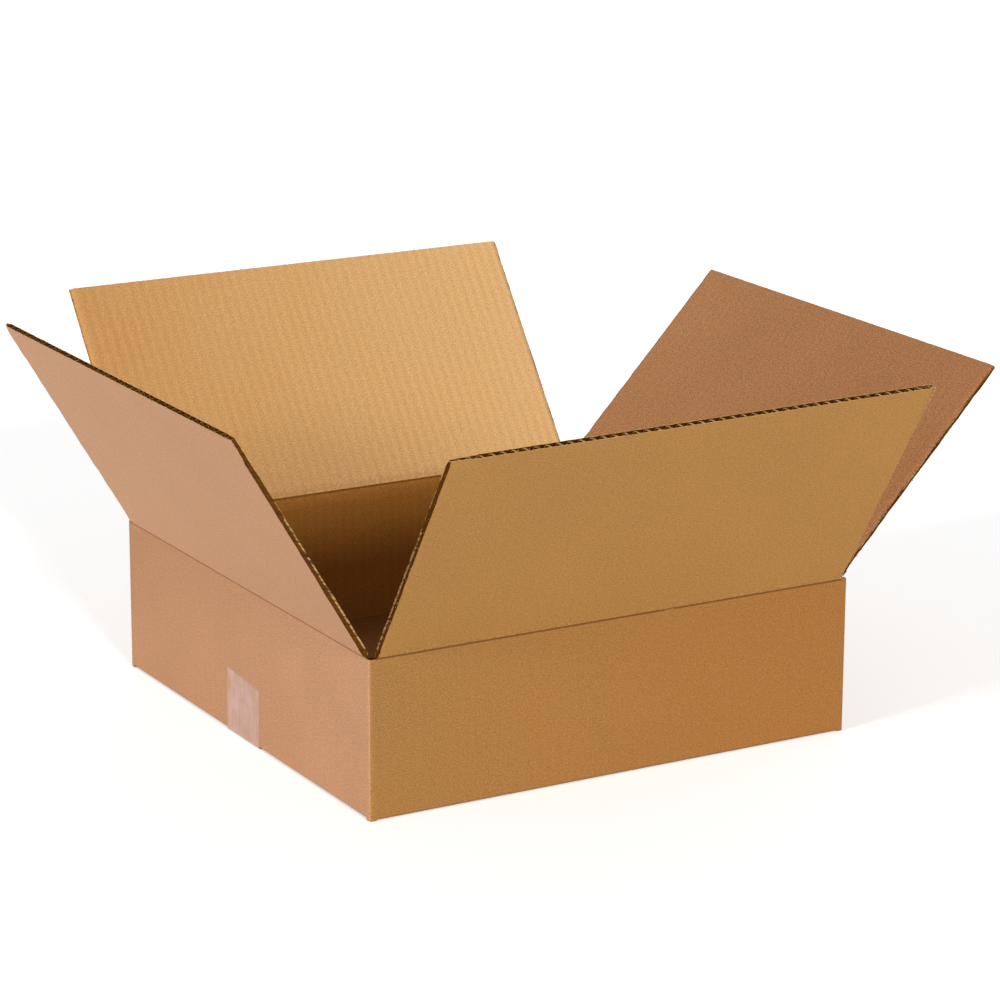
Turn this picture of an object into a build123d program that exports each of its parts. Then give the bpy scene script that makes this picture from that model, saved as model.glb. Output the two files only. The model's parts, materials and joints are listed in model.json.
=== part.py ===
from build123d import *
import os
from math import cos, degrees, radians, sin

# A square carton of single-wall corrugated board, set up with its bottom taped shut and its four top
# flaps standing open. Millimetres and degrees. The origin is the centre of the base, on the floor, with
# +Z up. The front wall faces -Y and the left wall faces -X.

# The box
inside_length = 355.6
inside_width = 355.6
crease_height = 107.6
seam_gap = 3.5

# The board: two flat liners with a fluted medium glued between them
board = 4.0
liner = 0.3
medium = 0.25
flute_pitch = 7.8
flute_flank = 52.0

# Creases, slots and folds
slot_clearance = 1.0
flap_side_gap = 0.3
crushed_margin = 9.0
fold_radius = 2.0
toe_radius = 1.0
fold_gap = 0.1
layer_gap = 0.2

# How far each top flap leans out from upright
front_lean = 32.5
back_lean = 36.8
left_lean = 30.9
right_lean = 43.3

# The glue lap inside the back wall
lap_width = 35.0
lap_taper = 6.0
lap_clearance = 1.0

# The tape over the bottom seam
tape_width = 48.0
tape_thickness = 0.1
tape_rise = 42.0
tape_fold = 0.9

# Worked out from the above
half_length = inside_length / 2 + board
half_width = inside_width / 2 + board
slot_inset = board + slot_clearance
inner_level = board + layer_gap


class Side:
    """One wall with its flaps. Its own frame has x along the wall, y inwards and z up."""

    def __init__(self, turn, distance, half_span, lean, folds_first):
        self.place = Rot(Z=turn) * Pos(0, -distance, 0)
        self.panel_half = half_span - slot_inset
        self.lean = radians(lean)
        self.folds_first = folds_first
        # The flaps that fold first lie one board lower when shut. Their crease is a soft band below the
        # visible fold line, as long as brings them down by that much.
        drop = board + layer_gap if folds_first else 0
        self.band = drop / (1 + sin(self.lean))
        self.shut_level = crease_height - drop - board
        # Shut, the flaps of two facing walls leave the seam gap between them.
        self.bottom_reach = distance - seam_gap / 2
        self.flap_length = self.bottom_reach - self.band * cos(self.lean)


sides = {
    "front": Side(0, half_width, half_length, front_lean, False),
    "back": Side(180, half_width, half_length, back_lean, False),
    "left": Side(270, half_length, half_width, left_lean, True),
    "right": Side(90, half_length, half_width, right_lean, True),
}


def folded_strip(outline, half_span):
    """A stretch of board with this outline across its folds, as wide as the panel between the slots."""
    face = make_face(Plane.YZ * Polyline(*outline, close=True))
    return extrude(face, half_span, both=True)


def wall_and_bottom_flap(side):
    """A wall, mitred inwards at its top crease, with its bottom flap folded in."""
    level = inner_level if side.folds_first else 0
    inset = slot_inset if side.folds_first else board
    outline = [
        (0, crease_height - side.band),
        (0, 0),
        (inset, level),
        (side.bottom_reach, level),
        (side.bottom_reach, level + board),
        (board, level + board),
        (board, side.shut_level - fold_gap),
    ]
    strip = folded_strip(outline, side.panel_half)
    toe = strip.edges().filter_by(Axis.X).sort_by(lambda e: e.center().Y + e.center().Z)[0]
    return fillet(toe, toe_radius if side.folds_first else fold_radius)


def corner_post():
    """The folded corner between two walls, left full height between the slots."""
    leg = Pos(-half_length + slot_inset / 2, -half_width + slot_inset / 2)
    hollow = Pos(-half_length + board + slot_inset / 2, -half_width + board + slot_inset / 2)
    angle = leg * Rectangle(slot_inset, slot_inset) - hollow * Rectangle(slot_inset, slot_inset)
    corner = angle.vertices().sort_by(lambda v: v.X + v.Y)[0]
    return extrude(fillet(corner, fold_radius), crease_height)


def glue_lap():
    """The lap of the right wall, tapered at both ends, glued inside the back wall."""
    right = half_length - board
    low = inner_level + board + lap_clearance
    high = sides["right"].shut_level - lap_clearance
    outline = [
        (right, low),
        (right, high),
        (right - lap_width, high - lap_taper),
        (right - lap_width, low + lap_taper),
    ]
    face = make_face(Plane.XZ * Polyline(*outline, close=True))
    return Pos(0, half_width - board, 0) * extrude(face, board)


def bottom_tape():
    """One strip of tape under the seam, folded up onto the left and right walls."""
    def trough(half, floor, fold):
        height = 2 * tape_rise
        block = Pos(0, 0, floor + height / 2) * Box(2 * half, tape_width, height)
        toes = block.edges().filter_by(Axis.Y).group_by(Axis.Z)[0]
        return fillet(toes, fold)

    outside = trough(half_length + tape_thickness, 0, tape_fold + tape_thickness)
    strip = outside - trough(half_length, tape_thickness, tape_fold)
    return split(strip, Plane.XY.offset(tape_rise), keep=Keep.BOTTOM)


def carton_body(tape):
    """Walls, glue lap and bottom flaps: one sheet, folded and glued, pressed flush with the tape."""
    body = glue_lap()
    for side in sides.values():
        body += side.place * wall_and_bottom_flap(side)
    post = corner_post()
    for flip_x in (False, True):
        for flip_y in (False, True):
            corner = mirror(post, Plane.YZ) if flip_x else post
            body += mirror(corner, Plane.XZ) if flip_y else corner
    return body - tape


def flute_channel():
    """The open space of one flute, between the near liner and the medium, centred on x = 0."""
    flank = radians(flute_flank)
    mid_x = flute_pitch / 4 - medium / 2 * sin(flank)
    mid_y = board / 2 - medium / 2 * cos(flank)
    mouth = mid_x + (mid_y - liner) * cos(flank) / sin(flank)
    floor = board - liner - medium
    radius = (mid_x * sin(flank) - (floor - mid_y) * cos(flank)) / (1 - cos(flank))
    bend = [flank, flank / 3, -flank / 3, -flank]
    crest = [(radius * sin(turn), floor - radius + radius * cos(turn)) for turn in bend]
    return make_face(Polyline((-mouth, liner), (mouth, liner), *crest, close=True))


def flutes(half_span):
    """All the flutes of a flap, alternately against the outer and the inner liner."""
    outer = flute_channel()
    inner = Pos(0, board) * mirror(outer, Plane.XZ)
    spaces = []
    half_pitch = flute_pitch / 2
    last = int(half_span / half_pitch)
    for step in range(-last, last + 1):
        spaces.append(Pos(step * half_pitch) * (inner if step % 2 else outer))
    return spaces


def top_flap(side):
    """A flap, with its flutes open at the free edge and crushed shut along the crease."""
    half_span = side.panel_half - flap_side_gap
    root_y = -side.band * sin(side.lean)
    root_z = -side.band * cos(side.lean)
    outline = [
        (0, side.flap_length),
        (board, side.flap_length),
        (board, root_z + board),
        (root_y, root_z),
    ]
    if side.band:
        outline.append((0, 0))
    flap = folded_strip(outline, half_span)
    depth = side.flap_length - crushed_margin
    flap -= [Pos(0, 0, crushed_margin) * extrude(space, depth) for space in flutes(half_span)]
    return side.place * Pos(0, 0, crease_height) * Rot(X=degrees(side.lean)) * flap


os.makedirs("parts", exist_ok=True)
tape = bottom_tape()
export_step(tape, "parts/bottom_tape.step")
export_step(carton_body(tape), "parts/carton_body.step")
for name, side in sides.items():
    export_step(top_flap(side), f"parts/{name}_flap.step")
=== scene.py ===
import json
import math
import random

import bmesh
import bpy
from mathutils import Matrix, Vector


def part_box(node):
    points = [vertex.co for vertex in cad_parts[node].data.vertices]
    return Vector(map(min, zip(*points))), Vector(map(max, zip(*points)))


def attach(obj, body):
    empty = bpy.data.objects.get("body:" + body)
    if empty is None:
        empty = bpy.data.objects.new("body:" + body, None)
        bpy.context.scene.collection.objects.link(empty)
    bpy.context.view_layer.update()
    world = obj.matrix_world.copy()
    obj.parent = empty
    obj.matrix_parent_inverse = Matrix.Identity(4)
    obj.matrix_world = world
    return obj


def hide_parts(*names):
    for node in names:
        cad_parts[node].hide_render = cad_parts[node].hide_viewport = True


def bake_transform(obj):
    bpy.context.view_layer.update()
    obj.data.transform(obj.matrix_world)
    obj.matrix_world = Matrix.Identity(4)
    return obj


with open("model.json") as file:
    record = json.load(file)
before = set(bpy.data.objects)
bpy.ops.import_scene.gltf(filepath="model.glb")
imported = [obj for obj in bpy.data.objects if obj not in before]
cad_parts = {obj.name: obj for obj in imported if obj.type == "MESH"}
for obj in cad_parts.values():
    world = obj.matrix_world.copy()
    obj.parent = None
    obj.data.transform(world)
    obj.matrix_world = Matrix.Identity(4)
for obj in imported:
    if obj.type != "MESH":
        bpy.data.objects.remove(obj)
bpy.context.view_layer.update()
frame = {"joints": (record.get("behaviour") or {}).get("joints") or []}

# The camera. It stands low in front of the carton's near corner, some two and a half metres off, behind
# a long lens, so that the carton's edges stay almost parallel.
camera_place = (-1.2249, -2.1584, 0.8398)
camera_turn = math.radians(-29.910)
camera_rise = math.radians(15.693)
camera_roll = math.radians(0.244)
focal_length_px = 3753.3
picture_width_px = 1000
sensor_mm = 36

camera = bpy.data.objects.new("camera", bpy.data.cameras.new("camera"))
bpy.context.scene.collection.objects.link(camera)
camera.data.sensor_width = sensor_mm
camera.data.lens = sensor_mm * focal_length_px / picture_width_px
aim = Matrix.Rotation(camera_turn, 4, "Z") @ Matrix.Rotation(math.pi / 2 - camera_rise, 4, "X")
camera.matrix_world = Matrix.Translation(camera_place) @ aim @ Matrix.Rotation(camera_roll, 4, "Z")
bpy.context.scene.camera = camera
bpy.context.scene.view_settings.view_transform = "Standard"

# The floor. A wide pale sheet, which the camera sees white where nothing shades it. It still takes the
# carton's soft shadow and sends light back up under the leaning flaps.
floor_half_width = 20
floor_drop = 0.0004
floor_paint = (0.80, 0.80, 0.80, 1)
floor_lift = 0.42


def where_seen(tree):
    """1 for what the camera sees, straight or by way of gloss or glass, and 0 for light on its way."""
    rays = tree.nodes.new("ShaderNodeLightPath")
    seen = rays.outputs["Is Camera Ray"]
    for kind in ("Is Glossy Ray", "Is Transmission Ray"):
        either = tree.nodes.new("ShaderNodeMath")
        either.operation = "MAXIMUM"
        tree.links.new(seen, either.inputs[0])
        tree.links.new(rays.outputs[kind], either.inputs[1])
        seen = either.outputs[0]
    return seen


bpy.ops.mesh.primitive_plane_add(size=2 * floor_half_width, location=(0, 0, -floor_drop))
floor = bpy.context.object
floor.name = "floor"
bpy.ops.object.transform_apply(location=True)
floor_material = bpy.data.materials.new("floor")
floor_material.use_nodes = True
tree = floor_material.node_tree
paint = tree.nodes["Principled BSDF"]
paint.inputs["Base Color"].default_value = floor_paint
paint.inputs["Roughness"].default_value = 1
paint.inputs["Specular IOR Level"].default_value = 0
lift = tree.nodes.new("ShaderNodeMath")
lift.operation = "MULTIPLY"
lift.inputs[1].default_value = floor_lift
glow = tree.nodes.new("ShaderNodeEmission")
both = tree.nodes.new("ShaderNodeAddShader")
tree.links.new(where_seen(tree), lift.inputs[0])
tree.links.new(lift.outputs[0], glow.inputs["Strength"])
tree.links.new(paint.outputs[0], both.inputs[0])
tree.links.new(glow.outputs[0], both.inputs[1])
tree.links.new(both.outputs[0], tree.nodes["Material Output"].inputs["Surface"])
floor.data.materials.append(floor_material)

# Studio light. A pale room lights everything a little, and two soft lamps stand low at the front and
# at the left, so that the outside is clear and the inside falls into shade. A weak one fills the back.
room_level = 0.36
lamps = {
    "front_lamp": {"turn": -8, "rise": 21, "level": 1.80, "softness": 8},
    "left_lamp": {"turn": -82, "rise": 22, "level": 1.75, "softness": 12},
    "back_lamp": {"turn": 140, "rise": 35, "level": 0.7, "softness": 60},
}
for name, lamp in lamps.items():
    light = bpy.data.lights.new(name, "SUN")
    light.energy = lamp["level"]
    light.angle = math.radians(lamp["softness"])
    holder = bpy.data.objects.new(name, light)
    bpy.context.scene.collection.objects.link(holder)
    holder.rotation_euler = (math.radians(90 - lamp["rise"]), 0, math.radians(lamp["turn"]))

world = bpy.data.worlds.new("studio")
bpy.context.scene.world = world
world.use_nodes = True
tree = world.node_tree
room = tree.nodes["Background"]
room.inputs["Color"].default_value = (1, 1, 1, 1)
room.inputs["Strength"].default_value = room_level
white = tree.nodes.new("ShaderNodeBackground")
white.inputs["Color"].default_value = (1, 1, 1, 1)
white.inputs["Strength"].default_value = 1
choice = tree.nodes.new("ShaderNodeMixShader")
tree.links.new(where_seen(tree), choice.inputs["Fac"])
tree.links.new(room.outputs[0], choice.inputs[1])
tree.links.new(white.outputs[0], choice.inputs[2])
tree.links.new(choice.outputs[0], tree.nodes["World Output"].inputs["Surface"])

# The walls. Each is a length of corrugated board standing on the fold of its bottom flap: two liners of
# brown kraft paper, glued to every crest of the fluted medium between them, and drawn in a little from
# crest to crest. The paper has long fibres, soft mottling, a faint line at each flute and a few flecks;
# that line is partly the glue line and partly painted shading of the drawn-in liner.
flute_pitch = 0.0078
board = 0.004
liner = 0.0003
medium = 0.00025
drawn_in = 0.00007
drawn_in_outside = 0.00004
wall_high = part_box("carton_body")[1]
half_size = wall_high.x
crease_height = wall_high.z
slot_inset = 0.005
panel_half = half_size - slot_inset
flattened = 0.0025
fold_radius = 0.002
inner_toe = 0.00214
inner_level = 0.0042
outer_crease = 0.005
inner_crease = 0.009
tiny = 1e-6
turns = {"front": 0, "right": 90, "back": 180, "left": 270}
folds_first = {"left": True, "right": True, "front": False, "back": False}
# How strongly each kind of grain shades the paper, and how much of it a fleck covers.
panel_width = 0.36
fibre_shade = 0.45
grain_shade = 0.60
mottle_shade = 0.12
cloud_shade = 0.12
flute_shade = 0.05
dark_fleck = (0.07, 0.03, 0.012, 1)
dark_fleck_cover = 0.65
pale_fleck = (0.85, 0.65, 0.40, 1)
pale_fleck_cover = 0.30
torn_shadow = (0.06, 0.028, 0.010, 1)
tear_contrast = 9
tear_share = 0.45
roughness = 0.78
relief_strength = 0.25
relief_height = 0.0002
plain_kraft = (0.46, 0.235, 0.088)


def shader_group(name, inputs, outputs):
    """A new node group with these named sockets, with its input and its output node."""
    group = bpy.data.node_groups.new(name, "ShaderNodeTree")
    for title, kind, value in inputs:
        group.interface.new_socket(title, in_out="INPUT", socket_type=kind).default_value = value
    for title, kind in outputs:
        group.interface.new_socket(title, in_out="OUTPUT", socket_type=kind)
    return group, group.nodes.new("NodeGroupInput"), group.nodes.new("NodeGroupOutput")


def reckon(tree, operation, first, second=0.0, third=0.0):
    """A Math node's result. Each value is a number or another node's output."""
    node = tree.nodes.new("ShaderNodeMath")
    node.operation = operation
    for socket, value in zip(node.inputs, (first, second, third)):
        if isinstance(value, bpy.types.NodeSocket):
            tree.links.new(value, socket)
        else:
            socket.default_value = value
    return node.outputs[0]


def noise(tree, place, across, along, detail):
    """Noise with its grain this many to the metre across the flutes and along them, about 0."""
    stretch = tree.nodes.new("ShaderNodeMapping")
    stretch.inputs["Scale"].default_value = (across, along, 1)
    tree.links.new(place, stretch.inputs["Vector"])
    grain = tree.nodes.new("ShaderNodeTexNoise")
    grain.inputs["Scale"].default_value = 1
    grain.inputs["Detail"].default_value = detail
    tree.links.new(stretch.outputs[0], grain.inputs["Vector"])
    return reckon(tree, "SUBTRACT", grain.outputs["Fac"], 0.5)


def flecks(tree, place, to_the_metre, size, share):
    """Small round flecks: 1 inside one and 0 outside, in this share of the cells."""
    stretch = tree.nodes.new("ShaderNodeMapping")
    stretch.inputs["Scale"].default_value = (to_the_metre, to_the_metre, 1)
    tree.links.new(place, stretch.inputs["Vector"])
    cells = tree.nodes.new("ShaderNodeTexVoronoi")
    cells.inputs["Scale"].default_value = 1
    tree.links.new(stretch.outputs[0], cells.inputs["Vector"])
    parts = tree.nodes.new("ShaderNodeSeparateColor")
    tree.links.new(cells.outputs["Color"], parts.inputs[0])
    radius = reckon(tree, "MULTIPLY", parts.outputs["Green"], size * to_the_metre)
    inside_one = reckon(tree, "LESS_THAN", cells.outputs["Distance"], radius)
    chosen = reckon(tree, "LESS_THAN", parts.outputs["Red"], share)
    return reckon(tree, "MULTIPLY", inside_one, chosen)


def blended(tree, share, first, second):
    """A colour this share of the way from the first to the second."""
    node = tree.nodes.new("ShaderNodeMix")
    node.data_type = "RGBA"
    from_colour, to_colour = [socket for socket in node.inputs if socket.type == "RGBA"]
    for socket, value in ((node.inputs[0], share), (from_colour, first), (to_colour, second)):
        if isinstance(value, bpy.types.NodeSocket):
            tree.links.new(value, socket)
        else:
            socket.default_value = value
    return next(socket for socket in node.outputs if socket.type == "RGBA")


kraft_group, given, result = shader_group(
    "kraft_paper",
    [
        ("Place", "NodeSocketVector", (0, 0, 0)),
        ("Paper", "NodeSocketColor", (0.5, 0.25, 0.1, 1)),
        ("Far paper", "NodeSocketColor", (0.5, 0.25, 0.1, 1)),
        ("Grain", "NodeSocketFloat", 1),
        ("Flutes", "NodeSocketFloat", 1),
        ("Fray", "NodeSocketFloat", 0),
    ],
    [("Color", "NodeSocketColor"), ("Roughness", "NodeSocketFloat"), ("Height", "NodeSocketFloat")],
)
tree = kraft_group
place = given.outputs["Place"]
fibres = noise(tree, place, across=500, along=1300, detail=3)
grain = noise(tree, place, across=950, along=1000, detail=2)
mottle = noise(tree, place, across=180, along=260, detail=3)
cloud = noise(tree, place, across=14, along=11, detail=2)
tears = noise(tree, place, across=330, along=330, detail=2)
dark_flecks = flecks(tree, place, to_the_metre=60, size=0.0004, share=0.06)
pale_flecks = flecks(tree, place, to_the_metre=90, size=0.0005, share=0.07)
apart = tree.nodes.new("ShaderNodeSeparateXYZ")
tree.links.new(place, apart.inputs[0])
# A faint line at each flute: partly the glue line, partly painted shading of the drawn-in liner's washboard.
line = reckon(tree, "COSINE", reckon(tree, "MULTIPLY", apart.outputs["X"], 2 * math.pi / flute_pitch))
line = reckon(tree, "MULTIPLY", line, reckon(tree, "ADD", cloud, 0.6))
line = reckon(tree, "MULTIPLY", line, given.outputs["Flutes"])
shade = reckon(tree, "MULTIPLY", fibres, fibre_shade)
shade = reckon(tree, "MULTIPLY_ADD", grain, grain_shade, shade)
shade = reckon(tree, "MULTIPLY_ADD", mottle, mottle_shade, shade)
shade = reckon(tree, "MULTIPLY", shade, given.outputs["Grain"])
shade = reckon(tree, "MULTIPLY_ADD", cloud, cloud_shade, shade)
shade = reckon(tree, "MULTIPLY_ADD", line, flute_shade, shade)
shade = reckon(tree, "ADD", shade, 1)
across = reckon(tree, "MULTIPLY_ADD", apart.outputs["X"], 1 / panel_width, 0.5)
across = reckon(tree, "MULTIPLY_ADD", cloud, 0.5, across)
scaled = tree.nodes.new("ShaderNodeVectorMath")
scaled.operation = "SCALE"
tint = blended(tree, across, given.outputs["Paper"], given.outputs["Far paper"])
tree.links.new(tint, scaled.inputs[0])
tree.links.new(shade, scaled.inputs["Scale"])
dark_cover = reckon(tree, "MULTIPLY", dark_flecks, dark_fleck_cover)
pale_cover = reckon(tree, "MULTIPLY", pale_flecks, pale_fleck_cover)
coloured = blended(tree, dark_cover, scaled.outputs[0], dark_fleck)
coloured = blended(tree, pale_cover, coloured, pale_fleck)
torn_away = reckon(tree, "MULTIPLY_ADD", tears, tear_contrast, tear_share)
torn_away = reckon(tree, "MULTIPLY", torn_away, given.outputs["Fray"])
torn_away = reckon(tree, "MINIMUM", reckon(tree, "MAXIMUM", torn_away, 0), 1)
coloured = blended(tree, torn_away, coloured, torn_shadow)
height = reckon(tree, "MULTIPLY_ADD", fibres, 0.7, grain)
height = reckon(tree, "MULTIPLY_ADD", dark_flecks, 0.3, height)
tree.links.new(coloured, result.inputs["Color"])
tree.links.new(reckon(tree, "MULTIPLY_ADD", mottle, 0.2, roughness), result.inputs["Roughness"])
tree.links.new(height, result.inputs["Height"])


def kraft_paper(name, paper, far_paper=None, grain=1.0, flutes=0.4, fray=0.0, shine=0.25):
    """Kraft paper of one tint, or of two, from the panel's left end to its right."""
    material = bpy.data.materials.new(name)
    material.use_nodes = True
    tree = material.node_tree
    where = tree.nodes.new("ShaderNodeUVMap")
    where.uv_map = "board"
    kraft = tree.nodes.new("ShaderNodeGroup")
    kraft.node_tree = kraft_group
    kraft.inputs["Paper"].default_value = (*paper, 1)
    kraft.inputs["Far paper"].default_value = (*(far_paper or paper), 1)
    kraft.inputs["Grain"].default_value = grain
    kraft.inputs["Flutes"].default_value = flutes
    kraft.inputs["Fray"].default_value = fray
    surface = tree.nodes["Principled BSDF"]
    surface.inputs["Specular IOR Level"].default_value = shine
    relief = tree.nodes.new("ShaderNodeBump")
    relief.inputs["Strength"].default_value = relief_strength
    relief.inputs["Distance"].default_value = relief_height
    tree.links.new(where.outputs[0], kraft.inputs["Place"])
    tree.links.new(kraft.outputs["Color"], surface.inputs["Base Color"])
    tree.links.new(kraft.outputs["Roughness"], surface.inputs["Roughness"])
    tree.links.new(kraft.outputs["Height"], relief.inputs["Height"])
    tree.links.new(relief.outputs[0], surface.inputs["Normal"])
    return material


# The medium's own darker paper. thicken also puts it on the liners' backs, as painted shade inside the
# flutes.
medium_and_flute_shade_paper = kraft_paper("fluted_medium", (0.120, 0.040, 0.005), flutes=0, shine=0)
cut_medium = kraft_paper("cut_medium_edge", (0.50, 0.28, 0.105), grain=1.5, flutes=0, fray=0.3, shine=0)
cut_paper = kraft_paper(
    "cut_liner_edge", (0.60, 0.37, 0.15), (0.57, 0.345, 0.135), grain=2.0, flutes=0, fray=0.3, shine=0.1
)
# Each wall's outside takes a tint of its own, and the front and left ones a second towards their right ends:
# partly the paper's own tone, partly painted light and shade for how each panel faces the lamps.
wall_papers = {
    "front": kraft_paper("front_wall", (0.370, 0.180, 0.049), (0.375, 0.158, 0.036), grain=1.6, flutes=0.08),
    "left": kraft_paper("left_wall", (0.455, 0.234, 0.116), (0.508, 0.261, 0.139), grain=1.4, flutes=0.2),
    "back": kraft_paper("back_wall", plain_kraft),
    "right": kraft_paper("right_wall", plain_kraft),
}
# The walls' inside is a little darker and redder than the outside: partly its own tone, partly painted shade
# for the inside of the box.
inside_paper = kraft_paper("inside", (0.42, 0.195, 0.055), grain=1.4, flutes=0.9)
inner_papers = {side: inside_paper for side in turns}
# The back wall's inside, seen down between the flaps, is painted much darker: painted shade.
inner_papers["back"] = kraft_paper("inside_back_wall", (0.312, 0.124, 0.016), grain=1.8, flutes=1.0)


def only(piece):
    """Leaves just this piece selected and active, out of edit mode."""
    if bpy.context.object and bpy.context.object.mode == "EDIT":
        bpy.ops.object.mode_set(mode="OBJECT")
    bpy.ops.object.select_all(action="DESELECT")
    piece.select_set(True)
    bpy.context.view_layer.objects.active = piece


def pick(piece, wanted):
    """Opens the piece for editing with just the vertices selected whose place is wanted."""
    only(piece)
    bpy.ops.object.mode_set(mode="EDIT")
    bpy.ops.mesh.select_mode(type="VERT")
    bpy.ops.mesh.select_all(action="DESELECT")
    shape = bmesh.from_edit_mesh(piece.data)
    for vertex in shape.verts:
        if wanted(vertex.co):
            vertex.select_set(True)
    shape.select_flush(True)
    bmesh.update_edit_mesh(piece.data)


def close_edit():
    """Ends the editing of a piece."""
    bpy.ops.object.mode_set(mode="OBJECT")


def shift(piece, wanted, x=0.0, y=0.0, z=0.0):
    """Moves the vertices whose place is wanted."""
    pick(piece, wanted)
    bpy.ops.transform.translate(value=(x, y, z))
    close_edit()


def press(piece, wanted, share, level):
    """Presses what is wanted towards this depth in the board, to this share of its distance."""
    pick(piece, wanted)
    bpy.ops.transform.resize(value=(1, share, 1), center_override=(0, level, 0))
    close_edit()


def cut(piece, place, across, **settings):
    """Cuts the whole piece along the plane through this place, which lies across this direction."""
    pick(piece, lambda co: True)
    bpy.ops.mesh.bisect(plane_co=place, plane_no=across, **settings)
    close_edit()


def place_in_mesh(piece):
    """Puts the piece's place, turn and size into its mesh."""
    only(piece)
    bpy.ops.object.transform_apply(location=True, rotation=True, scale=True)


def apply_modifier(piece, kind, **settings):
    """Adds a modifier with these settings and applies it."""
    only(piece)
    modifier = piece.modifiers.new(kind.lower(), kind)
    for key, value in settings.items():
        setattr(modifier, key, value)
    bpy.ops.object.modifier_apply(modifier=modifier.name)


def outer_depth(x):
    """How deep the outer liner's face lies at x: it is glued to a crest half way between flutes."""
    return drawn_in_outside * (1 + math.cos(2 * math.pi * x / flute_pitch)) / 2


def inner_depth(x):
    """How deep the inner liner's face lies at x."""
    return board - drawn_in * (1 - math.cos(2 * math.pi * x / flute_pitch)) / 2


def medium_depth(x):
    """How deep the middle of the fluted medium lies at x."""
    swing = board / 2 - liner - medium / 2
    return board / 2 + swing * math.cos(2 * math.pi * x / flute_pitch)


def paper_sheet(name, half_width, low, high, rows, columns, depth_at, facing):
    """One layer of upright board, x across the flutes, y into the board and z along them."""
    bpy.ops.mesh.primitive_grid_add(
        x_subdivisions=columns,
        y_subdivisions=rows,
        size=1,
        location=(0, 0, (low + high) / 2),
        rotation=(-facing * math.pi / 2, 0, 0),
    )
    sheet = bpy.context.object
    sheet.name = name
    sheet.scale = (flute_pitch, high - low, 1)
    place_in_mesh(sheet)
    for column in range(columns + 1):
        x = flute_pitch * (column / columns - 0.5)
        shift(sheet, lambda co: abs(co.x - x) < tiny, y=depth_at(x))
    reach = math.ceil(half_width / flute_pitch)
    shift(sheet, lambda co: True, x=-reach * flute_pitch)
    apply_modifier(
        sheet,
        "ARRAY",
        count=2 * reach + 1,
        use_relative_offset=False,
        use_constant_offset=True,
        constant_offset_displace=(flute_pitch, 0, 0),
        use_merge_vertices=True,
        merge_threshold=flute_pitch / 100,
    )
    for side in (-1, 1):
        cut(sheet, (side * half_width, 0, 0), (side, 0, 0), clear_outer=True, threshold=10 * tiny)
    return sheet


def thicken(sheet, thickness, paper, edge=cut_paper, offset=-1, back=2, more=()):
    """Gives a sheet its thickness and its paper, with raw paper round its cut edges.

    Its faces take the papers in this order by their number: paper, edge, the medium's, and more.
    The back takes the paper this many further on, and the rim the next one. On a liner the back is
    the medium's dark paper, as painted shade inside the flutes.
    """
    for material in (paper, edge, medium_and_flute_shade_paper, *more):
        sheet.data.materials.append(material)
    apply_modifier(
        sheet, "SOLIDIFY", thickness=thickness, offset=offset, material_offset=back, material_offset_rim=1
    )


def joined(name, sheets):
    """The sheets as one piece, smooth but for its cut edges, with its place on the board as a map."""
    only(sheets[0])
    for sheet in sheets:
        sheet.select_set(True)
    bpy.ops.object.join()
    piece = bpy.context.object
    piece.name = name
    bpy.ops.object.shade_smooth_by_angle(angle=math.radians(40))
    while piece.data.uv_layers:
        piece.data.uv_layers.remove(piece.data.uv_layers[0])
    board_map = piece.data.uv_layers.new(name="board")
    for corner in piece.data.loops:
        co = piece.data.vertices[corner.vertex_index].co
        board_map.data[corner.index].uv = (co.x, co.y + co.z)
    return piece


def stand(piece, side, lean=0.0, height=0.0):
    """Leans a piece out about its lower outer edge, and stands it at that height on its side."""
    turn = Matrix.Rotation(math.radians(turns[side]), 4, "Z")
    piece.matrix_world = turn @ Matrix.Translation((0, -half_size, height)) @ Matrix.Rotation(lean, 4, "X")
    place_in_mesh(piece)
    return piece


def fix_to_carton(piece):
    """A piece of the folded board that stays with the carton and dresses its solid."""
    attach(piece, "carton")
    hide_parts("carton_body")


for side in turns:
    toe = inner_toe if folds_first[side] else fold_radius
    inner_foot = inner_level + board if folds_first[side] else board
    inner_top = crease_height - inner_crease
    outer = paper_sheet("outer", panel_half, toe, crease_height - outer_crease, 6, 6, outer_depth, -1)
    inner = paper_sheet("inner", panel_half, inner_foot, inner_top, 6, 6, inner_depth, 1)
    flutes = paper_sheet("flutes", panel_half, inner_foot, inner_top, 2, 12, medium_depth, -1)
    press(outer, lambda co: abs(co.x) > panel_half - flattened, 0, 0)
    press(inner, lambda co: abs(co.x) > panel_half - flattened, 0, board)
    thicken(outer, liner, wall_papers[side])
    thicken(inner, liner, inner_papers[side])
    thicken(flutes, medium, medium_and_flute_shade_paper, cut_medium, 0, 0)
    fix_to_carton(stand(joined(side + "_wall", [outer, inner, flutes]), side))

# The top flaps. Each is board cut from the same sheet as its wall, with its flutes open at the free
# edge. The slotting knives crush the board along both side edges and leave them ragged, with the pale
# fibre of the inner liner showing below and torn bits of it standing out all round.
creases = {joint["child"].replace("_flap", ""): joint for joint in frame["joints"]}
leans = {side: math.radians(-creases[side]["range_deg"][0] - 90) for side in turns}
knife_gap = 0.0003
flap_half = panel_half - knife_gap
flutes_half = flap_half - 0.0004
flutes_short = 0.0002
flap_low = 0.004
inner_flap_low = 0.0045
# How thick the medium is with its burrs, how much of its thickness the board keeps at the side cuts,
# and how deep the medium's raw paper shows at the free edge.
burred = {"front": 0.0005, "left": 0.0003, "right": 0.0004, "back": 0.0004}
pinch = {"front": 0.92, "left": 0.92, "right": 0.60, "back": 0.15}
cut_depth = {"front": 0.0012, "left": 0.0003, "right": 0.0008, "back": 0.0008}
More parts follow.
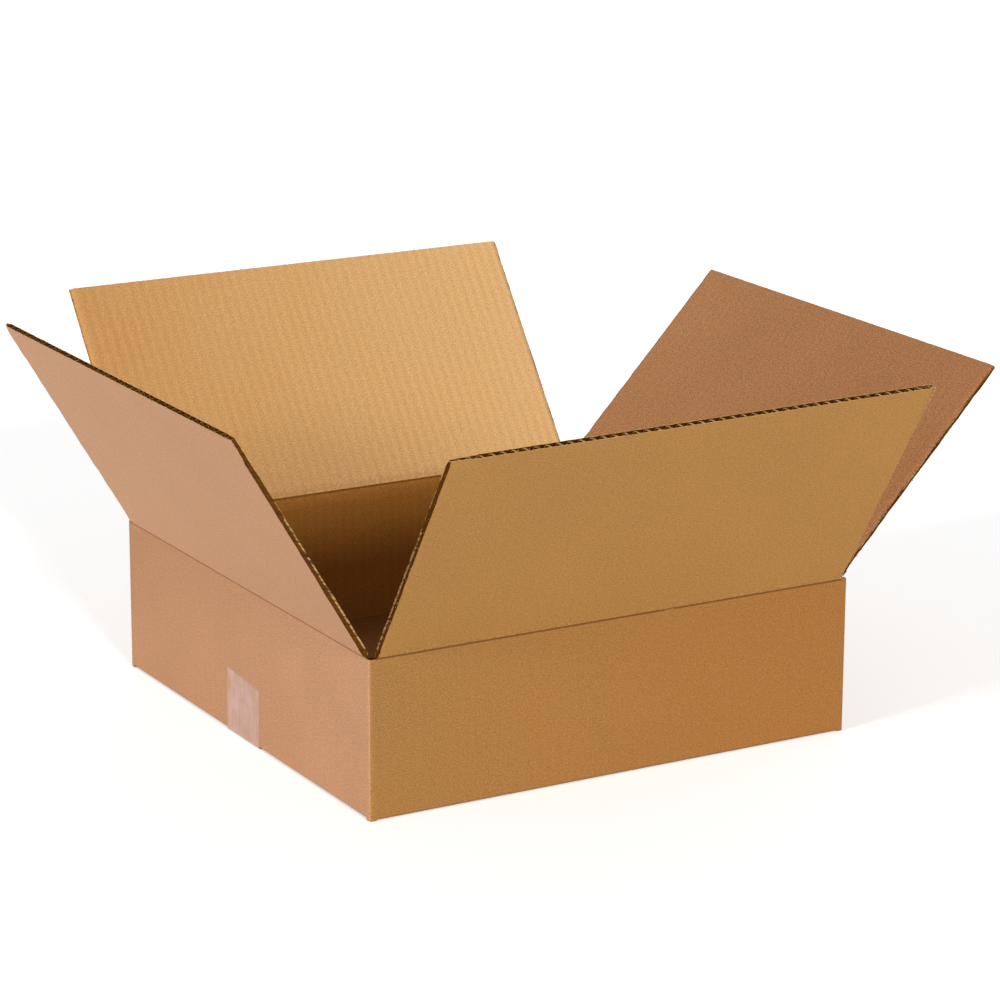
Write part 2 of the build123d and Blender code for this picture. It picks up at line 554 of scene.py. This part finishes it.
# The knife drags the side cuts over in two bands, each this far out and this far into the board. The
# inner one shows pale fibre, up to this share of the flap's length.
dragged = ((-0.0001, 0.0021), (0.0004, 0.0011))
dragged_reach = 0.0002
pale_depth = 0.0022
pale_up_to = {"front": 0.64, "left": 0.62, "right": 1, "back": 1}
# Where it rolls the outer liner in: at which end, how wide at the fold, and how that narrows above.
rolled = {"front": (-1, 0.0006, 0), "left": (1, 0.0026, 0.016)}
# The board is pressed thinner near its cuts: over what width, and to what share of its thickness.
free_edge_zone = 0.002
free_edge_share = 0.90
side_zone = 0.003
side_share = 0.90
pinch_zone = 0.0012
pressed_from = 0.008
# The front flap's near corner and the left flap's far one are knocked thinner still.
corner_zone = 0.004
knocked = {"front": ((0.020, 0.82), (0.013, 0.82), (0.006, 0.82)), "left": ((0.004, 0.7),)}
# How near a cut a spot counts as on it, and how ragged each cut is.
free_edge_reach = 0.0006
side_reach = 0.0003
free_edge_ragged = 0.00015
side_ragged = 0.0004
roll_ragged = 0.0003
ragged_from = 0.006
foot_share = 0.997
skewed = math.radians(0.8)
# Torn fibres: how many, how wide and how long. The front flap's far corner has more of them.
slivers_per_flap = 160
corner_slivers = 140
sliver_widths = (0.0003, 0.0007)
sliver_lengths = (0.0008, 0.0018)
slivers_from = 0.005
along_edge = 0.016
down_side = 0.026
edge_depths = (-0.0002, 0.0036)
face_depths = (-0.0002, 0.0004)
side_tuck = 0.0001
chance = random.Random(7)

# The flaps' outsides likewise: their tints are partly the paper's own tone, partly painted light, which makes
# the front and left flaps lighter than their walls.
flap_papers = {
    "front": kraft_paper("front_flap", (0.447, 0.224, 0.062), (0.450, 0.222, 0.058), grain=1.6, flutes=0.05),
    "left": kraft_paper("left_flap", (0.558, 0.312, 0.175), (0.548, 0.298, 0.163), grain=1.3, flutes=0.1),
    "back": kraft_paper("back_flap", plain_kraft),
    "right": kraft_paper("right_flap", plain_kraft),
}
inner_flap_papers = {
    "front": kraft_paper("inside_front_flap", plain_kraft, grain=1.4, flutes=0.9),
    "left": kraft_paper("inside_left_flap", plain_kraft, grain=1.4, flutes=0.9),
    # The back flap's inside runs from a light tint at the end by the right flap to a darker one at the end by
    # the left flap: painted light and shade across it.
    "back": kraft_paper(
        "inside_back_flap", (0.665, 0.400, 0.167), (0.522, 0.267, 0.088), grain=1.5, flutes=1.2
    ),
    # The right flap's inside is painted darker and redder than the plain kraft: painted shade.
    "right": kraft_paper(
        "inside_right_flap", (0.322, 0.137, 0.050), (0.345, 0.158, 0.060), grain=3.0, flutes=0.6
    ),
}
# The crushed side cuts, the rolled-in outer liner and the folds' end caps take near-black paper, darker at
# each panel's left end: partly crushed fibre, partly painted shade.
crushed_shade_near = (0.080, 0.024, 0.0025)
crushed_shade_far = (0.130, 0.045, 0.0065)
crushed_shade_paper = kraft_paper(
    "crushed_side_edge", crushed_shade_near, crushed_shade_far, grain=2.0, flutes=0, fray=0.3, shine=0
)
# The pale fibre of the inner liner at the side cuts and the folds' ends, much darker at each panel's left
# end: painted shade for the front flap's near cut, which is turned from the light.
frayed_and_shaded = kraft_paper(
    "frayed_liner_edge", (0.29, 0.155, 0.062), (0.54, 0.31, 0.12), grain=1.5, flutes=0, fray=0.7, shine=0
)
torn_fibre = kraft_paper("torn_fibre", (0.62, 0.42, 0.20), flutes=0, fray=0.2, shine=0)
side_papers = (frayed_and_shaded, crushed_shade_paper)
# The numbers of the papers on a flap's sheets, as thicken gives them.
raw_edge = 1
pale_edge = 3
crushed_shaded_edge = 4


def rough(piece, wanted, amount, seed):
    """Moves what is wanted a little, at random, as a blunt knife leaves a cut edge."""
    pick(piece, wanted)
    bpy.ops.transform.vertex_random(offset=amount, seed=seed)
    close_edit()


def flap_length(side):
    """The flap's length, from how far its edge stands out from its wall."""
    low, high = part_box(side + "_flap")
    reach = {"front": -low.y, "back": high.y, "left": -low.x, "right": high.x}[side]
    return (reach - half_size) / math.sin(leans[side])


def past_roll(side, x, z):
    """How far past the start of its rolled edge a spot on the outer liner lies."""
    end, width, narrowing = rolled[side]
    return x * end - (flap_half - width + narrowing * z)


def close_side_cuts(flutes):
    """Closes the flutes along both side cuts with the two bands that the knife drags over them."""
    for end in (-1, 1):
        pick(flutes, lambda co: abs(co.x - end * flutes_half) < tiny)
        for outwards, inwards in dragged:
            bpy.ops.mesh.extrude_edges_move(TRANSFORM_OT_translate={"value": (end * outwards, inwards, 0)})
        close_edit()


def show_raw_paper(flutes, side, length):
    """Gives the medium's faces at its cuts their raw, pale or crushed and shaded paper."""
    for face in flutes.data.polygons:
        if face.center.z > length - cut_depth[side]:
            face.material_index = raw_edge
        elif abs(face.center.x) > flutes_half - dragged_reach:
            pale = face.center.y > pale_depth and face.center.z < pale_up_to[side] * length
            face.material_index = pale_edge if pale or side == "back" else crushed_shaded_edge


def press_at_cuts(sheet, side, length):
    """Presses a sheet thinner towards its free edge, its side cuts and its knocked corner."""
    press(sheet, lambda co: co.z > length - free_edge_zone, free_edge_share, board / 2)
    for zone, share in ((side_zone, side_share), (pinch_zone, pinch[side])):
        press(sheet, lambda co: abs(co.x) > flap_half - zone and co.z > pressed_from, share, board / 2)
    low = length - corner_zone
    for reach, share in knocked.get(side, ()):
        press(sheet, lambda co: co.z > low and co.x < reach - flap_half, share, board / 2)


def leave_ragged(sheet, length, seed):
    """Roughens a sheet's cuts, and draws its foot in where it has to clear the corners."""
    rough(sheet, lambda co: co.z > length - free_edge_reach, free_edge_ragged, seed)
    at_side = flap_half - side_reach
    rough(sheet, lambda co: abs(co.x) > at_side and co.z > ragged_from, side_ragged, seed + 5)
    pick(sheet, lambda co: co.z < ragged_from)
    bpy.ops.transform.resize(value=(foot_share, 1, 1), center_override=(0, 0, 0))
    close_edit()


# One torn fibre, drawn in towards its tip. All the others are copies of it.
tip_share = 0.4
bpy.ops.object.select_all(action="DESELECT")
bpy.ops.mesh.primitive_plane_add(size=1)
torn = bpy.context.object
torn.name = "torn_fibre"
pick(torn, lambda co: co.y > 0)
bpy.ops.transform.resize(value=(tip_share, 1, 1), center_override=(0, 0.5, 0))
close_edit()
torn.data.materials.append(torn_fibre)


def sliver(spot):
    """A copy of the torn fibre at this spot, turned and sized by chance."""
    copy = torn.copy()
    copy.data = torn.data.copy()
    bpy.context.scene.collection.objects.link(copy)
    copy.location = spot
    copy.rotation_euler = (math.pi / 2, chance.uniform(0, math.pi), 0)
    copy.scale = (chance.uniform(*sliver_widths), chance.uniform(*sliver_lengths), 1)
    place_in_mesh(copy)
    return copy


def edge_slivers(side, length):
    """Torn fibres, one in four on the free edge's two liners and the others on the side cuts."""
    slivers = []
    for number in range(slivers_per_flap):
        spot = chance.uniform(-1, 1) * flap_half, chance.choice((liner / 2, board - liner / 2)), length
        if number % 4:
            depth = liner if number % 3 == 0 else board - liner
            depth = board / 2 + (depth - board / 2) * pinch[side]
            spot = chance.choice((-1, 1)) * flap_half, depth, chance.uniform(slivers_from, length)
        slivers.append(sliver(spot))
    return slivers


def far_corner_slivers(length):
    """More torn fibres round the front flap's far corner, denser towards its point."""
    edge = length + math.tan(skewed) * flap_half
    slivers = []
    for number in range(corner_slivers):
        if number % 2:
            across = flap_half - along_edge * chance.random() ** 2
            spot = across, chance.uniform(*edge_depths), edge - flutes_short
        else:
            depth = chance.uniform(*face_depths)
            spot = flap_half - side_tuck, depth, edge - down_side * chance.random() ** 2
        slivers.append(sliver(spot))
    return slivers


for number, side in enumerate(turns):
    length = flap_length(side)
    outer = paper_sheet("outer", flap_half, flap_low, length, 28, 6, outer_depth, -1)
    inner = paper_sheet("inner", flap_half, inner_flap_low, length, 28, 6, inner_depth, 1)
    flutes = paper_sheet(
        "flutes", flutes_half, inner_flap_low, length - flutes_short, 24, 12, medium_depth, -1
    )
    sheets = outer, inner, flutes
    edge_from = length - free_edge_zone
    close_side_cuts(flutes)
    if side in rolled:
        end, width, narrowing = rolled[side]
        cut(outer, (end * (flap_half - width), 0, 0), (1, 0, -end * narrowing), threshold=10 * tiny)
    for sheet in sheets:
        cut(sheet, (0, 0, length - cut_depth[side]), (0, 0, 1))
    show_raw_paper(flutes, side, length)
    if side in rolled:
        # The rolled-in margin takes the crushed side paper, dark in part with painted shade.
        for face in outer.data.polygons:
            if past_roll(side, face.center.x, face.center.z) > 0:
                face.material_index = crushed_shaded_edge
        rough(
            outer,
            lambda co: ragged_from < co.z < edge_from and abs(past_roll(side, co.x, co.z)) < tiny,
            roll_ragged,
            number + 80,
        )
    for layer, sheet in enumerate(sheets):
        press_at_cuts(sheet, side, length)
        leave_ragged(sheet, length, 10 * number + layer)
    # The front flap's free edge is cut a little out of square.
    if side == "front":
        for sheet in sheets:
            pick(sheet, lambda co: co.z > edge_from)
            bpy.ops.transform.rotate(
                value=skewed, orient_axis="Y", center_override=(0, 0, length), orient_type="GLOBAL"
            )
            close_edit()
    flute_ends = cut_paper if side == "front" else cut_medium
    thicken(outer, liner, flap_papers[side], more=side_papers)
    thicken(inner, liner, inner_flap_papers[side])
    thicken(flutes, burred[side], medium_and_flute_shade_paper, flute_ends, 0, 0, side_papers)
    slivers = edge_slivers(side, length)
    if side == "front":
        slivers += far_corner_slivers(length)
    flap = stand(joined(side + "_flap_board", [*sheets, *slivers]), side, leans[side], crease_height)
    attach(flap, side + "_flap")
    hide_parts(side + "_flap")
bpy.data.objects.remove(torn)

# The folds along the top of the walls. The board is crushed there from the inside to a groove, and the
# flap turns on what is left. The line wanders a little, since the flutes under it give unevenly.
groove = 0.00035
groove_reach = 0.0005
wander = 0.00025
dip_depth = 0.0024
dip_reach = 0.0009
fold_half = 0.0009
overlap = 0.0006
inside_from = 0.0018
pale_end_from = 0.0021
pale_end_to = 0.0038
mostly = 0.7
# The groove outside and the dip inside take dark paper: partly crushed fibre, partly painted shade in the
# groove.
fold_shade_papers = {
    "front": kraft_paper("front_fold", (0.205, 0.082, 0.015), (0.205, 0.080, 0.014), flutes=0),
    "left": kraft_paper("left_fold", (0.350, 0.168, 0.080), flutes=0),
    "back": kraft_paper("back_fold", (0.26, 0.12, 0.040), flutes=0),
    "right": kraft_paper("right_fold", (0.26, 0.12, 0.040), flutes=0),
}
inside_fold = kraft_paper("inside_fold", (0.21, 0.085, 0.014), grain=1.5, flutes=0, shine=0)


def strip(name, half_width, path, columns):
    """A sheet as wide as this, x across it, whose rows stand at these places (y, z) in turn."""
    rows = len(path) - 1
    away = 10
    bpy.ops.mesh.primitive_grid_add(
        x_subdivisions=columns, y_subdivisions=rows, size=1, location=(0, 0, away + 0.5)
    )
    sheet = bpy.context.object
    sheet.name = name
    sheet.rotation_euler = (math.pi / 2, 0, 0)
    sheet.scale = (2 * half_width, 1, 1)
    place_in_mesh(sheet)
    for row, (y, z) in enumerate(path):
        height = away + row / rows
        shift(sheet, lambda co: abs(co.z - height) < 100 * tiny, y=y, z=z - height)
    return sheet


def leaned(lean, depth, along):
    """A place in a flap's board, as (y, z) from the visible fold line."""
    return depth * math.cos(lean) - along * math.sin(lean), depth * math.sin(lean) + along * math.cos(lean)


def near_line(place, line, reach):
    """Whether a place lies within this reach of a line (y, z) that runs along the fold."""
    return math.hypot(place.y - line[0], place.z - line[1]) < reach


def crease_path(lean, band, middle, dip):
    """Places (y, z) up the outside of wall and flap, in through the board and down the inside again."""
    return [
        (0, -outer_crease),
        (0, -0.0036),
        (0, -0.0022),
        (0, -0.0015),
        (groove * 0.45, -0.0007),
        middle,
        leaned(lean, groove * 0.45, 0.0007),
        leaned(lean, 0, 0.0015),
        leaned(lean, 0, 0.0022),
        leaned(lean, 0, flap_low + overlap),
        leaned(lean, board, inner_flap_low + overlap),
        leaned(lean, 0.0038, 0.0030),
        leaned(lean, 0.0031, 0.0016),
        leaned(lean, 0.0026, 0.0007),
        dip,
        (0.0026, -0.0007 - 1.2 * band),
        (0.0031, -0.0016 - 1.5 * band),
        (0.0038, -0.0030 - 1.5 * band),
        (board, -inner_crease),
        (0, -outer_crease),
    ]


def crease_layer(face, side, middle, dip):
    """Which layer of the board a face of the crease shows."""
    lean = leans[side]
    spot = face.center
    if abs(face.normal.x) > mostly:
        depth = spot.y * math.cos(lean) + spot.z * math.sin(lean)
        along = spot.z * math.cos(lean) - spot.y * math.sin(lean)
        pale = len(face.vertices) == 4 and depth > pale_end_from and along < pale_end_to
        return "pale end" if pale else "crushed end"
    if near_line(spot, dip, dip_reach) and spot.z < dip[1]:
        return "inner fold"
    if spot.y > inside_from - max(spot.z, 0) * math.tan(lean / 2):
        return "inner flap" if spot.z > 0 else "inner wall"
    if spot.z > fold_half and side in rolled and past_roll(side, spot.x, 0) > 0:
        return "crushed end"
    if near_line(spot, middle, groove_reach):
        return "fold"
    return "flap" if spot.z > 0 else "wall"


for number, side in enumerate(turns):
    lean = leans[side]
    joint = creases[side]
    band = crease_height - joint["pos_m"][2]
    middle = groove * math.cos(lean / 2), groove * math.sin(lean / 2)
    dip = dip_depth * math.cos(lean / 2), dip_depth * math.sin(lean / 2) - band
    crease = strip(side + "_crease", flap_half, crease_path(lean, band, middle, dip), 48)
    pick(crease, lambda co: co.z < -fold_half)
    bpy.ops.transform.resize(value=(panel_half / flap_half, 1, 1), center_override=(0, 0, 0))
    close_edit()
    rough(crease, lambda co: near_line(co, middle, groove_reach), wander, number + 60)
    pick(crease, lambda co: True)
    bpy.ops.mesh.remove_doubles(threshold=tiny)
    close_edit()
    if side in rolled:
        end, width, narrowing = rolled[side]
        cut(crease, (end * (flap_half - width), 0, 0), (1, 0, 0), threshold=10 * tiny)
    for end in (-1, 1):
        pick(crease, lambda co: co.x * end > flap_half - side_reach)
        bpy.ops.mesh.edge_face_add()
        bpy.ops.mesh.inset(thickness=liner, depth=0)
    pick(crease, lambda co: True)
    bpy.ops.mesh.normals_make_consistent(inside=False)
    close_edit()
    crease_papers = {
        "flap": flap_papers[side],
        "wall": wall_papers[side],
        "fold": fold_shade_papers[side],
        "inner flap": inner_flap_papers[side],
        "inner wall": inner_papers[side],
        "crushed end": crushed_shade_paper,
        "inner fold": inside_fold,
        "pale end": frayed_and_shaded,
    }
    paper_at = {name: slot for slot, name in enumerate(crease_papers)}
    for paper in crease_papers.values():
        crease.data.materials.append(paper)
    joined(side + "_crease", [crease])
    for face in crease.data.polygons:
        face.material_index = paper_at[crease_layer(face, side, middle, dip)]
    stand(crease, side, 0, crease_height)
    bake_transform(crease)
    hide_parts(side + "_flap")

# The corners. The wall's board is folded there round a crushed line, and stands the full height of the
# walls between the slots, which the slotting knives cut square down to the crease.
near_corner = ("left", "front")
# Near-black paper for the slot bottom of the near corner, down in the V between the front and left flaps:
# painted shade.
slot_shade_paper = kraft_paper("crushed_slot_edge", (0.040, 0.015, 0.004), grain=1.5, flutes=0, shine=0)
right_face, left_face, inner_face, top_face = range(4)
for left_side, right_side in (near_corner, ("front", "right"), ("right", "back"), ("back", "left")):
    bpy.ops.mesh.primitive_plane_add(size=1)
    corner = bpy.context.object
    corner.name = f"{left_side}_{right_side}_corner"
    corner.scale = (slot_inset, slot_inset, 1)
    corner.location = (-half_size + slot_inset / 2, slot_inset / 2, 0)
    place_in_mesh(corner)
    cut(corner, (-half_size + board, 0, 0), (1, 0, 0))
    cut(corner, (0, board, 0), (0, 1, 0))
    pick(corner, lambda co: co.x > -half_size + board + tiny and co.y > board + tiny)
    bpy.ops.mesh.delete(type="VERT")
    close_edit()
    pick(corner, lambda co: True)
    bpy.ops.mesh.dissolve_limited()
    close_edit()
    pick(corner, lambda co: co.x < -half_size + tiny and co.y < tiny)
    bpy.ops.mesh.bevel(offset=fold_radius, offset_type="OFFSET", segments=6, affect="VERTICES")
    close_edit()
    pick(corner, lambda co: abs(co.x + half_size - board) < tiny and abs(co.y - board) < tiny)
    bpy.ops.mesh.bevel(offset=slot_inset - board, offset_type="OFFSET", segments=4, affect="VERTICES")
    close_edit()
    pick(corner, lambda co: True)
    bpy.ops.mesh.extrude_region_move(TRANSFORM_OT_translate={"value": (0, 0, crease_height)})
    bpy.ops.mesh.select_all(action="SELECT")
    bpy.ops.mesh.normals_make_consistent(inside=False)
    close_edit()
    # The near corner's slot bottom takes the painted shade; the other corners take the inside paper.
    top_paper = slot_shade_paper if (left_side, right_side) == near_corner else inside_paper
    for paper in (wall_papers[right_side], wall_papers[left_side], inside_paper, top_paper):
        corner.data.materials.append(paper)
    joined(corner.name, [corner])
    for face in corner.data.polygons:
        if abs(face.normal.z) > mostly:
            face.material_index = top_face
        elif face.normal.x > 0.1 or face.normal.y > 0.1:
            face.material_index = inner_face
        else:
            face.material_index = left_face if face.normal.x < face.normal.y else right_face
        # Here the paper of the wall on the left carries on, so the map runs along that wall.
        if face.material_index == left_face:
            for loop in face.loop_indices:
                co = corner.data.vertices[corner.data.loops[loop].vertex_index].co
                corner.data.uv_layers["board"].data[loop].uv = (half_size - co.y, co.z)
    fix_to_carton(stand(corner, right_side))

# The bottom flaps. The left and right ones are folded in first, and the front and back ones close over
# them from outside. Each is the same board as its wall, turned under it at a rounded fold.
seam_half = 0.00175
inner_seam_half = 0.00015
bottom_reach = half_size - seam_half
inner_reach = half_size - inner_seam_half
tape_half = 0.024
tape_bed = 0.00012
# Places (y, z) round the outside of each fold, from under the flap to the foot of the wall.
outer_fold = ((fold_radius, 0), (0.00123, 0.00015), (0.00059, 0.00059), (0.00015, 0.00123), (0, fold_radius))
inner_fold = (
    (0.005, inner_level),
    (0.00164, 0.00138),
    (0.001, 0.00114),
    (0.0005, 0.00127),
    (0.00013, 0.00164),
    (0, inner_toe),
)
# The inside of the bottom is painted dark: painted shade at the foot of the box.
inside_bottom = kraft_paper("inside_bottom", (0.158, 0.053, 0.005), grain=1.4, flutes=0.8)

for number, side in enumerate(turns):
    level = inner_level if folds_first[side] else 0
    reach = inner_reach if folds_first[side] else bottom_reach
    fold = inner_fold if folds_first[side] else outer_fold
    outer = paper_sheet("outer", panel_half, -reach, -fold[0][0], 16, 6, outer_depth, -1)
    inner = paper_sheet("inner", panel_half, -reach, -board, 6, 6, inner_depth, 1)
    flutes = paper_sheet("flutes", panel_half, -reach + 2 * flutes_short, -board, 3, 12, medium_depth, -1)
    if not folds_first[side]:
        shift(outer, lambda co: co.z < -reach + tape_half, y=tape_bed)
    for layer, sheet in enumerate((outer, inner, flutes)):
        rough(sheet, lambda co: co.z < -reach + free_edge_reach, free_edge_ragged, 10 * number + layer + 100)
    thicken(outer, liner, wall_papers[side])
    thicken(inner, liner, inside_bottom)
    thicken(flutes, medium, medium_and_flute_shade_paper, cut_medium, 0, 0)
    flap = stand(joined(side + "_bottom_flap", [outer, inner, flutes]), side, math.pi / 2, level)
    turned = strip(side + "_bottom_fold", panel_half, fold, 1)
    thicken(turned, liner, wall_papers[side])
    turned = stand(joined(side + "_bottom_fold", [turned]), side)
    fix_to_carton(flap)
    fix_to_carton(turned)

# The glue lap, the maker's joint. A narrow tongue of the right wall's board, tapered at both ends and
# glued flat inside the back wall.
lap_width = 0.035
lap_lift = 0.001
lap_drop = 0.0002
lap_low = inner_level + board + lap_lift
lap_high = crease_height - inner_crease - lap_drop
lap_taper = 0.006
outer = paper_sheet("outer", lap_width / 2, lap_low, lap_high, 4, 6, outer_depth, -1)
inner = paper_sheet("inner", lap_width / 2, lap_low, lap_high, 4, 6, inner_depth, 1)
flutes = paper_sheet("flutes", lap_width / 2, lap_low, lap_high, 4, 12, medium_depth, -1)
for sheet in (outer, inner, flutes):
    for height, up in ((lap_low + lap_taper, -1), (lap_high - lap_taper, 1)):
        cut(sheet, (lap_width / 2, 0, height), (lap_taper, 0, up * lap_width), clear_outer=True)
    shift(sheet, lambda co: True, x=-half_size + board + lap_width / 2, y=board)
thicken(outer, liner, inside_paper)
thicken(inner, liner, inside_paper)
thicken(flutes, medium, medium_and_flute_shade_paper, cut_medium, 0, 0)
fix_to_carton(stand(joined("glue_lap", [outer, inner, flutes]), "back"))

# The tape. One strip of clear sealing tape closes the seam underneath, its ends pressed up on the left
# and right walls and torn off on the dispenser's teeth, the left one a little askew.
tape_thickness = 0.0001
tape_rise = 0.042
tape_middle = 0.020
tape_out = half_size + tape_thickness
# Places (y, z) down one end of the tape and round the fold, y from the wall inwards.
tape_end = (
    (0, tape_rise),
    (0, tape_middle),
    (0, 0.001),
    (0.00008, 0.0006),
    (0.0003, 0.0003),
    (0.0006, 0.00008),
    (0.001, 0),
)
tooth = 0.0015
teeth_ragged = 0.0004
torn_askew = math.radians(4)
film_tint = (0.68, 0.440, 0.385, 1)
thin_film_tint = (0.66, 0.400, 0.275, 1)
film_cover = 0.75

path = [(-tape_out + y, z) for y, z in tape_end] + [(tape_out - y, z) for y, z in reversed(tape_end)]
tape = strip("tape", tape_half, path, 32)
shift(tape, lambda co: co.z > tape_rise - 100 * tiny and round((co.x + tape_half) / tooth) % 2 == 1, z=-tooth)
rough(tape, lambda co: co.z > tape_rise - 1.5 * tooth, teeth_ragged, 3)
for end in (-1, 1):
    press(tape, lambda co: co.z > tape_rise - 2 * tooth and co.y * end > 0, 0, end * tape_out)
pick(tape, lambda co: co.z > tape_rise - 2 * tooth and co.y > 0)
bpy.ops.transform.rotate(
    value=torn_askew, orient_axis="Y", center_override=(-tape_half, 0, tape_rise), orient_type="GLOBAL"
)
bpy.ops.mesh.select_all(action="SELECT")
bpy.ops.mesh.normals_make_consistent(inside=False)
close_edit()

film_group, given, result = shader_group(
    "tape_film",
    [
        ("Place", "NodeSocketVector", (0, 0, 0)),
        ("Film", "NodeSocketColor", (0.6, 0.4, 0.4, 1)),
        ("Thin film", "NodeSocketColor", (0.6, 0.4, 0.3, 1)),
        ("Cover", "NodeSocketFloat", 0.6),
    ],
    [
        ("Color", "NodeSocketColor"),
        ("Roughness", "NodeSocketFloat"),
        ("Alpha", "NodeSocketFloat"),
        ("Height", "NodeSocketFloat"),
    ],
)
tree = film_group
place = given.outputs["Place"]
streaks = noise(tree, place, across=420, along=60, detail=3)
wrinkles = noise(tree, place, across=150, along=60, detail=2)
blotches = noise(tree, place, across=70, along=60, detail=2)
stuck = reckon(tree, "MULTIPLY_ADD", streaks, 1.5, 0.5)
stuck = reckon(tree, "MULTIPLY_ADD", blotches, 2.6, stuck)
cover = reckon(tree, "MULTIPLY_ADD", stuck, -0.16, given.outputs["Cover"])
tint = blended(tree, stuck, given.outputs["Film"], given.outputs["Thin film"])
tree.links.new(tint, result.inputs["Color"])
tree.links.new(reckon(tree, "MULTIPLY_ADD", wrinkles, 0.3, 0.38), result.inputs["Roughness"])
tree.links.new(cover, result.inputs["Alpha"])
tree.links.new(reckon(tree, "MULTIPLY_ADD", streaks, 0.5, wrinkles), result.inputs["Height"])

tape_film = bpy.data.materials.new("clear_tape")
tape_film.use_nodes = True
tree = tape_film.node_tree
film = tree.nodes.new("ShaderNodeGroup")
film.node_tree = film_group
film.inputs["Film"].default_value = film_tint
film.inputs["Thin film"].default_value = thin_film_tint
film.inputs["Cover"].default_value = film_cover
surface = tree.nodes["Principled BSDF"]
surface.inputs["Specular IOR Level"].default_value = 0.35
relief = tree.nodes.new("ShaderNodeBump")
relief.inputs["Strength"].default_value = 0.2
relief.inputs["Distance"].default_value = 0.0002
where = tree.nodes.new("ShaderNodeTexCoord")
parts = tree.nodes.new("ShaderNodeSeparateXYZ")
flat = tree.nodes.new("ShaderNodeCombineXYZ")
tree.links.new(where.outputs["Object"], parts.inputs[0])
tree.links.new(parts.outputs["Y"], flat.inputs["X"])
tree.links.new(reckon(tree, "ADD", parts.outputs["X"], parts.outputs["Z"]), flat.inputs["Y"])
tree.links.new(flat.outputs[0], film.inputs["Place"])
tree.links.new(film.outputs["Color"], surface.inputs["Base Color"])
tree.links.new(film.outputs["Roughness"], surface.inputs["Roughness"])
tree.links.new(film.outputs["Alpha"], surface.inputs["Alpha"])
tree.links.new(film.outputs["Height"], relief.inputs["Height"])
tree.links.new(relief.outputs[0], surface.inputs["Normal"])
tape.data.materials.append(tape_film)
apply_modifier(tape, "SOLIDIFY", thickness=tape_thickness, offset=-1)
tape.rotation_euler = (0, 0, math.pi / 2)
place_in_mesh(tape)
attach(tape, "carton")
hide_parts("bottom_tape")
